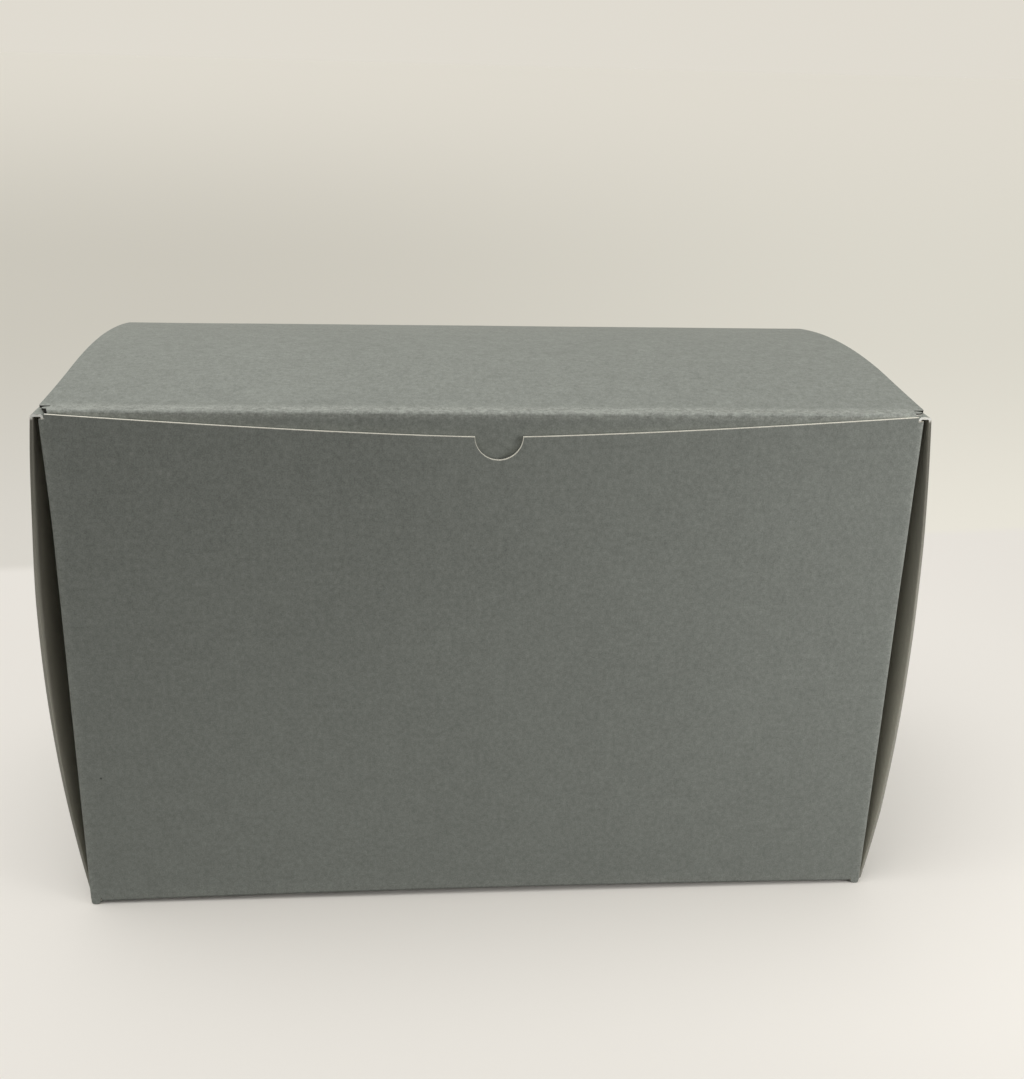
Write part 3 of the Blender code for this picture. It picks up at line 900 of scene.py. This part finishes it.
def tuck_sheet():
    """Fold between flap and lid: the shoulder in front of the slits ends in two free ears."""
    start, turned = LONG.ends["tuck fold"]
    slit = LONG.ends["shoulder"][1]
    half = [
        (FLAP_HALF_WIDTH, start),
        (FLAP_HALF_WIDTH, turned),
        (EAR_HALF_WIDTH, turned + BOARD),
        (EAR_HALF_WIDTH, slit),
    ]
    outline = round_corners(mirrored(half), {3: LID_CORNER_RADIUS / 2, 4: LID_CORNER_RADIUS / 2})
    outline[outline.index((-FLAP_HALF_WIDTH, turned))] = (-FLAP_HALF_WIDTH - LEFT_SPREAD, turned)

    def lift(u, v):
        free = max(abs(u) - SLIT_START, 0.0) / (EAR_HALF_WIDTH - SLIT_START)
        return -front_drop(u) - EAR_DROOP * free * min(max((v - turned) / SHOULDER, 0.0), 1.0)

    def wear(u, v):
        return ease((v - start) / FLAP_MARGIN)

    along = LONG.scores(start, slit)
    return cut_sheet("tuck_fold_board", outline, lid_columns(EAR_HALF_WIDTH), along, wear, lift)


def lid_sheet():
    """Lid, whose front corners are slit free of the fold."""
    start, end = LONG.ends["lid"]
    corner = start + SLIT_WIDTH
    half = [
        (SLIT_START, start),
        (SLIT_START, corner),
        (LID_HALF_WIDTH + LID_FLARE, corner),
    ]
    for v in spread(corner, corner + FLARE_RUN, SHEET_STEP)[1:]:
        half.append((LID_HALF_WIDTH + LID_FLARE * (1.0 - (v - corner) / FLARE_RUN) ** 2, v))
    half.append((LID_HALF_WIDTH, end))
    rounds = {2: LID_CORNER_RADIUS, 2 * len(half) - 3: LID_CORNER_RADIUS}
    outline = round_corners(mirrored(half), rounds)

    def lift(u, v):
        return -front_drop(u) * (1.0 - ease((v - start) / DROP_RUN))

    along = LONG.scores(start, end)
    wear = fold_wear((start,), *WEAR["lid"])
    columns = lid_columns(LID_HALF_WIDTH + LID_FLARE)
    return cut_sheet("lid_board", outline, columns, along, wear, lift)


def hinge_sheet():
    """Fold between lid and back panel."""
    start, end = LONG.ends["lid fold"]
    half = [
        (LID_HALF_WIDTH, start),
        (LID_HALF_WIDTH, start + FOLD_MARGIN),
        (SCOOP_END, start + FOLD_MARGIN + BOARD),
        (SCOOP_END, end),
    ]
    wear = fold_wear(((start + end) / 2,), *WEAR["hinge"])
    along = LONG.scores(start, end)
    return cut_sheet("lid_fold_board", mirrored(half), lid_columns(SCOOP_END), along, wear)


# Board finishes

def shader_material(name, **settings):
    """A node material, its tree, its shader's inputs, some of them set, and its coordinates."""
    material = bpy.data.materials.new(name)
    material.use_nodes = True
    tree = material.node_tree
    shader = tree.nodes["Principled BSDF"].inputs
    for key, value in {"Metallic": 0.0, **settings}.items():
        shader[key].default_value = value
    place = node(tree, "ShaderNodeTexCoord").outputs["Object"]
    return material, tree, shader, place


def noise(tree, vector, scale, detail, roughness):
    """Noise texture's value at a scale in waves per metre."""
    inputs = {"Vector": vector, "Scale": scale, "Detail": detail, "Roughness": roughness}
    return node(tree, "ShaderNodeTexNoise", inputs).outputs[0]


def grain(tree, vector, scale, detail, roughness, low, high):
    """Noise with its usual range stretched to low and high."""
    value = noise(tree, vector, scale, detail, roughness)
    least, most = NOISE_RANGE
    inputs = {"Value": value, "From Min": least, "From Max": most, "To Min": low, "To Max": high}
    return node(tree, "ShaderNodeMapRange", inputs, clamp=False).outputs[0]


def grained(tree, vector, layers):
    """Tone round 1 from layers of grain."""
    tone = 1.0
    for layer in layers:
        tone = maths(tree, "ADD", tone, grain(tree, vector, *layer))
    return tone


def blend_colours(tree, share, first, second):
    """Mix of two colours by a share."""
    made = node(tree, "ShaderNodeMix", {0: share}, data_type="RGBA")
    for socket, value in ((made.inputs[6], first), (made.inputs[7], second)):
        if isinstance(value, bpy.types.NodeSocket):
            tree.links.new(value, socket)
        else:
            socket.default_value = (*value, 1.0)
    return made.outputs[2]


def specked(tree, tone, vector, scale, size, share, change):
    """A tone changed on scattered specks, in a share of the cells of a Voronoi pattern."""
    cells = node(tree, "ShaderNodeTexVoronoi", {"Vector": vector, "Scale": scale})
    near = maths(tree, "LESS_THAN", cells.outputs["Distance"], size)
    pick = node(tree, "ShaderNodeSeparateColor", {0: cells.outputs["Color"]}).outputs[0]
    chosen = maths(tree, "LESS_THAN", pick, share)
    return maths(tree, "ADD", tone, product(tree, near, chosen, change))


def spot(tree, vector, place, radius):
    """1 at a place, falling softly to 0 at a radius round it."""
    return fade(tree, distance(tree, vector, place), radius, 0.0)


def paper_tooth(tree, shader, vector, depth):
    """Fine tooth of the paper as bump."""
    fine = noise(tree, vector, *TOOTH_FINE)
    coarse = maths(tree, "MULTIPLY", noise(tree, vector, *TOOTH_COARSE), COARSE_WEIGHT)
    height = maths(tree, "ADD", fine, coarse)
    bump = node(tree, "ShaderNodeBump", {"Strength": 1.0, "Distance": depth, "Height": height})
    tree.links.new(bump.outputs[0], shader["Normal"])


def bruised_edge(tree, place):
    """1 on the front panel's face along its top edge and notch, where the liner is scraped off."""
    sides = split(tree, place)
    across = maths(tree, "DIVIDE", maths(tree, "ABSOLUTE", sides[0]), SCOOP_END)
    rise = maths(tree, "MULTIPLY", maths(tree, "POWER", across, SCOOP_POWER), SCOOP_DEPTH)
    edge = maths(tree, "ADD", rise, HEIGHT - SCOOP_DEPTH - BRUISE)
    above = maths(tree, "GREATER_THAN", sides[2], edge)
    rim = (NOTCH_SHIFT, -HALF_DEPTH, scoop_height(NOTCH_SHIFT + NOTCH_RADIUS))
    notch = maths(tree, "LESS_THAN", distance(tree, place, rim), NOTCH_RADIUS + BRUISE)
    face = maths(tree, "LESS_THAN", sides[1], FRONT_FACE)
    return maths(tree, "MULTIPLY", maths(tree, "MAXIMUM", above, notch), face)


def grey_liner():
    """Outer face: grey archival paper, fibrous, lighter where it is creased or scuffed, with painted
    light and shade on the front panel's left.
    """
    material, tree, shader, place = shader_material("grey_liner", IOR=BOARD_IOR)
    wear = node(tree, "ShaderNodeAttribute", attribute_name="crease").outputs["Fac"]
    tone = grained(tree, place, LINER_GRAIN)
    tone = specked(tree, tone, place, *PALE_SPECKS)
    tone = specked(tree, tone, vector_maths(tree, "ADD", place, DARK_SHIFT), *DARK_SPECKS)

    # Painted light and shade: the front panel's left is made lighter low down and darker high up.
    sides = split(tree, place)
    face = maths(tree, "LESS_THAN", sides[1], FRONT_FACE)
    below = maths(tree, "SUBTRACT", PAINTED_SHADING_TURN, sides[2])
    painted_shading = product(tree, face, fade(tree, sides[0], *PAINTED_SHADING_ACROSS), below, PAINTED_SHADING_SLOPE)
    tone = maths(tree, "ADD", tone, painted_shading)
    stretched = vector_maths(tree, "MULTIPLY", place, CRUMPLE_STRETCH)
    crumpled = maths(tree, "MULTIPLY", wear, grain(tree, stretched, *CRUMPLED))
    tone = maths(tree, "ADD", tone, crumpled)

    rubbed = grain(tree, place, *RUBBED)
    worn = maths(tree, "MULTIPLY", wear, rubbed, clamp=True)
    for scuff in SCUFFS:
        scuffed = maths(tree, "MULTIPLY", spot(tree, place, scuff, SCUFF_RADIUS), rubbed)
        worn = maths(tree, "ADD", worn, scuffed)
    worn = maths(tree, "MULTIPLY", worn, WEAR_SHARE, clamp=True)
    colour = blend_colours(tree, worn, GREY, WORN_GREY)
    colour = blend_colours(tree, bruised_edge(tree, place), colour, CORE)
    colour = scaled(tree, colour, tone)
    colour = blend_colours(tree, spot(tree, place, SPECK, SPECK_RADIUS), colour, SPECK_COLOUR)
    tree.links.new(colour, shader["Base Color"])
    tree.links.new(grain(tree, place, *LINER_GLOSS), shader["Roughness"])
    paper_tooth(tree, shader, place, LINER_TOOTH)
    return material


def cream_lining():
    """Inner face: cream board, unprinted, in painted shade along the side walls' free edges."""
    material, tree, shader, place = shader_material("cream_lining", IOR=BOARD_IOR)
    tone = specked(tree, grained(tree, place, LINING_GRAIN), place, *LINING_SPECKS)
    sides = split(tree, place)
    # Painted shade: the side walls' lining is darkened near their free edges, more so higher up.
    wall = maths(tree, "GREATER_THAN", maths(tree, "ABSOLUTE", sides[0]), WALL_START)
    reach = fade(tree, maths(tree, "ABSOLUTE", sides[1]), *PAINTED_SHADE_REACH)
    painted_shade = product(tree, wall, reach, fade(tree, sides[2], *PAINTED_SHADE_RISE), PAINTED_SHADE_DEPTH)
    tone = maths(tree, "MULTIPLY", tone, maths(tree, "SUBTRACT", 1.0, painted_shade))
    tree.links.new(scaled(tree, LINING, tone), shader["Base Color"])
    tree.links.new(grain(tree, place, *LINING_GLOSS), shader["Roughness"])
    paper_tooth(tree, shader, place, LINER_TOOTH)
    return material


def cream_core():
    """Cut edge: cream plies under a thin grey skin, in painted shade on the side walls' free edges and
    beside the lid's slits, with a painted highlight on the frayed ridge ends.
    """
    material, tree, shader, place = shader_material("cream_core", **CORE_FINISH)
    depth = node(tree, "ShaderNodeAttribute", attribute_name="depth").outputs["Fac"]
    ragged = maths(tree, "ADD", depth, grain(tree, place, *RAGGED))
    plies = maths(tree, "SINE", maths(tree, "MULTIPLY", ragged, PLY_WAVES))
    plies = maths(tree, "MULTIPLY", plies, PLY_TONE)
    tone = maths(tree, "ADD", grained(tree, place, CORE_GRAIN), plies)

    sides = split(tree, place)
    aside = maths(tree, "ABSOLUTE", sides[0])
    below_lid = maths(tree, "LESS_THAN", sides[2], HEIGHT + CLEAR)
    in_lid = maths(tree, "GREATER_THAN", sides[2], HEIGHT + CLEAR)
    # Painted shade: the side walls' cut edges below the ridge are darkened, most of all high up.
    wall = maths(tree, "GREATER_THAN", aside, WALL_START)
    wall = maths(tree, "MULTIPLY", wall, fade(tree, sides[2], RIDGE_FULL, RIDGE_START))
    painted_shade = blend_colours(tree, fade(tree, sides[2], *PAINTED_SHADE_CUT), PAINTED_SHADE_CORE_LOW, PAINTED_SHADE_CORE_HIGH)
    colour = blend_colours(tree, wall, CORE, painted_shade)
    skin = maths(tree, "LESS_THAN", ragged, SKIN)
    skin = maths(tree, "MULTIPLY", skin, maths(tree, "SUBTRACT", 1.0, wall))
    colour = blend_colours(tree, skin, colour, GREY)
    # Frayed ridge ends, whitened beyond the core as a painted highlight of fibres catching the light.
    ridge = maths(tree, "GREATER_THAN", aside, SCOOP_END)
    ridge = product(tree, ridge, fade(tree, sides[2], RIDGE_START, RIDGE_FULL), below_lid)
    frayed_with_highlight = maths(tree, "MULTIPLY", ridge, grain(tree, place, *FRAY), clamp=True)
    colour = blend_colours(tree, frayed_with_highlight, colour, FRAYED_WITH_PAINTED_HIGHLIGHT)
    # Painted shade: a near-black tone on the cut edges beside the lid's slits, in place of the dark of
    # the gap.
    beside_slit = maths(tree, "GREATER_THAN", aside, SLIT_START - CLEAR)
    near_fold = maths(tree, "LESS_THAN", sides[1], FLAP_AXIS.y + 2 * SHOULDER)
    slit = product(tree, beside_slit, in_lid, near_fold)
    colour = blend_colours(tree, slit, colour, SLIT_SHADE)
    tree.links.new(scaled(tree, colour, tone), shader["Base Color"])
    paper_tooth(tree, shader, place, CORE_TOOTH)
    return material


# The box

FOLD_TREE = fold_tree()
BOARD_FACES = (grey_liner(), cream_lining(), cream_core())

long_path = section_curve("long_path", [(0.0, p.x, p.y) for p in LONG.points])
straight_across = section_curve("straight_across", [(-REACH, 0.0, 0.0), (REACH, 0.0, 0.0)])
front_plan = section_curve("front_plan", [(p.x, p.y, 0.0) for p in FRONT_PLAN.points])
back_plan = section_curve("back_plan", [(p.x, p.y, 0.0) for p in BACK_PLAN.points])
flat = {"Across start": REACH}

boards = {}
unwaved = {**flat, "Wave height": 0.0}
strips = (
    (base_sheet(), unwaved),
    (flap_sheet(), flat),
    (tuck_sheet(), flat),
    (lid_sheet(), flat),
    (hinge_sheet(), flat),
)
for sheet, inputs in strips:
    board = fold(sheet, (straight_across, long_path), inputs, BOARD_FACES)
    boards[board.name] = board
ends = (
    ("front_board", scooped_edge(), "front foot", 1.0, FRONT_PLAN, front_plan),
    ("back_board", straight_edge(), "back foot", -1.0, BACK_PLAN, back_plan),
)
for name, top_edge, foot, upward, plan, plan_curve in ends:
    sheet = end_sheet(name, top_edge, foot, upward, plan)
    fold_high = min(LONG.ends[foot], key=lambda s: -upward * s)
    inputs = {
        "Across start": plan.middle(),
        "Straight beyond": fold_high + upward * RELIEF_RISE,
        "Corner push": CORNER_PUSH,
    }
    boards[name] = fold(sheet, (plan_curve, long_path), inputs, BOARD_FACES)
for side_name, side in (("left", -1), ("right", 1)):
    section = SIDES[side_name]
    along = section_curve(side_name + "_path", [(side * p.x, 0.0, p.y) for p in section.points])
    across = section_curve(side_name + "_run", [(0.0, -side * REACH, 0.0), (0.0, side * REACH, 0.0)])
    name = side_name + "_side_board"
    sheet = side_sheet(name, section, SIDE_TAPER[side_name])
    boards[name] = fold(sheet, (across, along), {**flat, "Corner push": CORNER_PUSH}, BOARD_FACES)
for path in [thing for thing in bpy.data.objects if thing.type == "CURVE"]:
    bpy.data.objects.remove(path, do_unlink=True)

stands_for = {
    "base_board": ("base_panel",),
    "front_board": ("front_panel", "front_left_corner_tab", "front_right_corner_tab"),
    "back_board": ("back_panel", "back_left_corner_tab", "back_right_corner_tab"),
    "left_side_board": ("left_outer_wall", "left_ridge", "left_inner_wall"),
    "right_side_board": ("right_outer_wall", "right_ridge", "right_inner_wall"),
    "lid_board": ("lid_panel",),
    "lid_fold_board": ("lid_crease",),
    "tuck_fold_board": ("tuck_crease",),
    "flap_board": ("tuck_flap",),
}
bodies = {"lid_board": "lid", "flap_board": "flap"}
for name, nodes in stands_for.items():
    piece = boards[name]
    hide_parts(*nodes)
    if name == "lid_fold_board":
        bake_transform(piece)
    elif name == "tuck_fold_board":
        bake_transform(piece)
    else:
        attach(piece, bodies.get(name, "carcass"))


# Floor, light and camera

def seen_directly(tree):
    """1 for camera, glossy and transmission rays, 0 for the diffuse rays that light the box."""
    rays = node(tree, "ShaderNodeLightPath").outputs
    direct = maths(tree, "ADD", rays["Is Camera Ray"], rays["Is Glossy Ray"])
    return maths(tree, "ADD", direct, rays["Is Transmission Ray"], clamp=True)


def floor_material():
    """Pale floor that meets a softer tone behind the box, where a wall would stand, painted with light
    and shade: lighter at its foot and at the right, darker part-way up and at the left.
    """
    material, tree, shader, place = shader_material("floor", **FLOOR_FINISH)
    sides = split(tree, place)
    ahead = maths(tree, "ADD", sides[1], WALL_EYE)
    nearness = maths(tree, "DIVIDE", WALL_LINE + WALL_EYE, ahead)
    beside = fade(tree, maths(tree, "DIVIDE", sides[0], ahead), *WALL_ACROSS)
    # Painted light and shade on the wall: lighter at its foot and at the right, darker part-way up and
    # at the left.
    near = blend_colours(tree, beside, WALL_NEAR, WALL_NEAR_BESIDE)
    painted_shade_wall = blend_colours(tree, beside, WALL_PAINTED_SHADE, WALL_PAINTED_SHADE_BESIDE)
    wall = blend_colours(tree, fade(tree, nearness, *WALL_NEARER), painted_shade_wall, near)
    wall = blend_colours(tree, fade(tree, nearness, *WALL_FARTHER), wall, WALL_FAR)
    slant = maths(tree, "MULTIPLY", sides[0], WALL_SLANT)
    line = maths(tree, "SUBTRACT", sides[1], slant)
    behind = fade(tree, line, WALL_LINE - WALL_EDGE, WALL_LINE + WALL_EDGE)
    away = node(tree, "ShaderNodeVectorMath", {0: place}, operation="LENGTH").outputs["Value"]
    ground = blend_colours(tree, fade(tree, away, *FLOOR_FADE), FLOOR_SEEN, WALL_FAR)
    seen = blend_colours(tree, behind, ground, wall)
    colour = blend_colours(tree, seen_directly(tree), FLOOR_BOUNCE, seen)
    tree.links.new(colour, shader["Base Color"])
    return material


floor_mesh = bpy.data.meshes.new("floor")
corners = [(FLOOR_REACH * x, FLOOR_REACH * y, 0.0) for x, y in ((-1, -1), (1, -1), (1, 1), (-1, 1))]
floor_mesh.from_pydata(corners, [], [(0, 1, 2, 3)])
floor_mesh.materials.append(floor_material())
floor = new_object("floor", floor_mesh)

world = bpy.data.worlds.new("room")
bpy.context.scene.world = world
world.use_nodes = True
sky = world.node_tree
background = sky.nodes["Background"]
room = blend_colours(sky, seen_directly(sky), ROOM_LIGHT, ROOM_SEEN)
sky.links.new(room, background.inputs["Color"])


def lamp(name, kind, place, aim, energy, **settings):
    """A lamp at a place, turned to shine at another."""
    data = bpy.data.lights.new(name, kind)
    data.energy = energy
    for key, value in settings.items():
        setattr(data, key, value)
    made = new_object(name, data)
    made.location = place
    made.rotation_euler = (Vector(aim) - Vector(place)).to_track_quat("-Z", "Y").to_euler()


for name, settings in LAMPS.items():
    lamp(name, **settings)

yaw, pitch, roll = (math.radians(angle) for angle in CAMERA_TURN)
level = Vector((math.cos(yaw), math.sin(yaw), 0.0))
ahead = Vector((-math.sin(yaw), math.cos(yaw), 0.0))
forward = ahead * math.cos(pitch) - Vector((0.0, 0.0, math.sin(pitch)))
upright = level.cross(forward)
right = level * math.cos(roll) - upright * math.sin(roll)
above = level * math.sin(roll) + upright * math.cos(roll)
pose = Matrix((right, above, -forward)).transposed().to_4x4()
pose.translation = Vector(CAMERA_PLACE)
camera_data = bpy.data.cameras.new("camera")
camera_data.sensor_fit = "HORIZONTAL"
camera_data.sensor_width = CAMERA_SENSOR
camera_data.lens = CAMERA_LENS
camera = new_object("camera", camera_data)
camera.matrix_world = pose
bpy.context.scene.camera = camera
bpy.context.scene.view_settings.view_transform = "Standard"
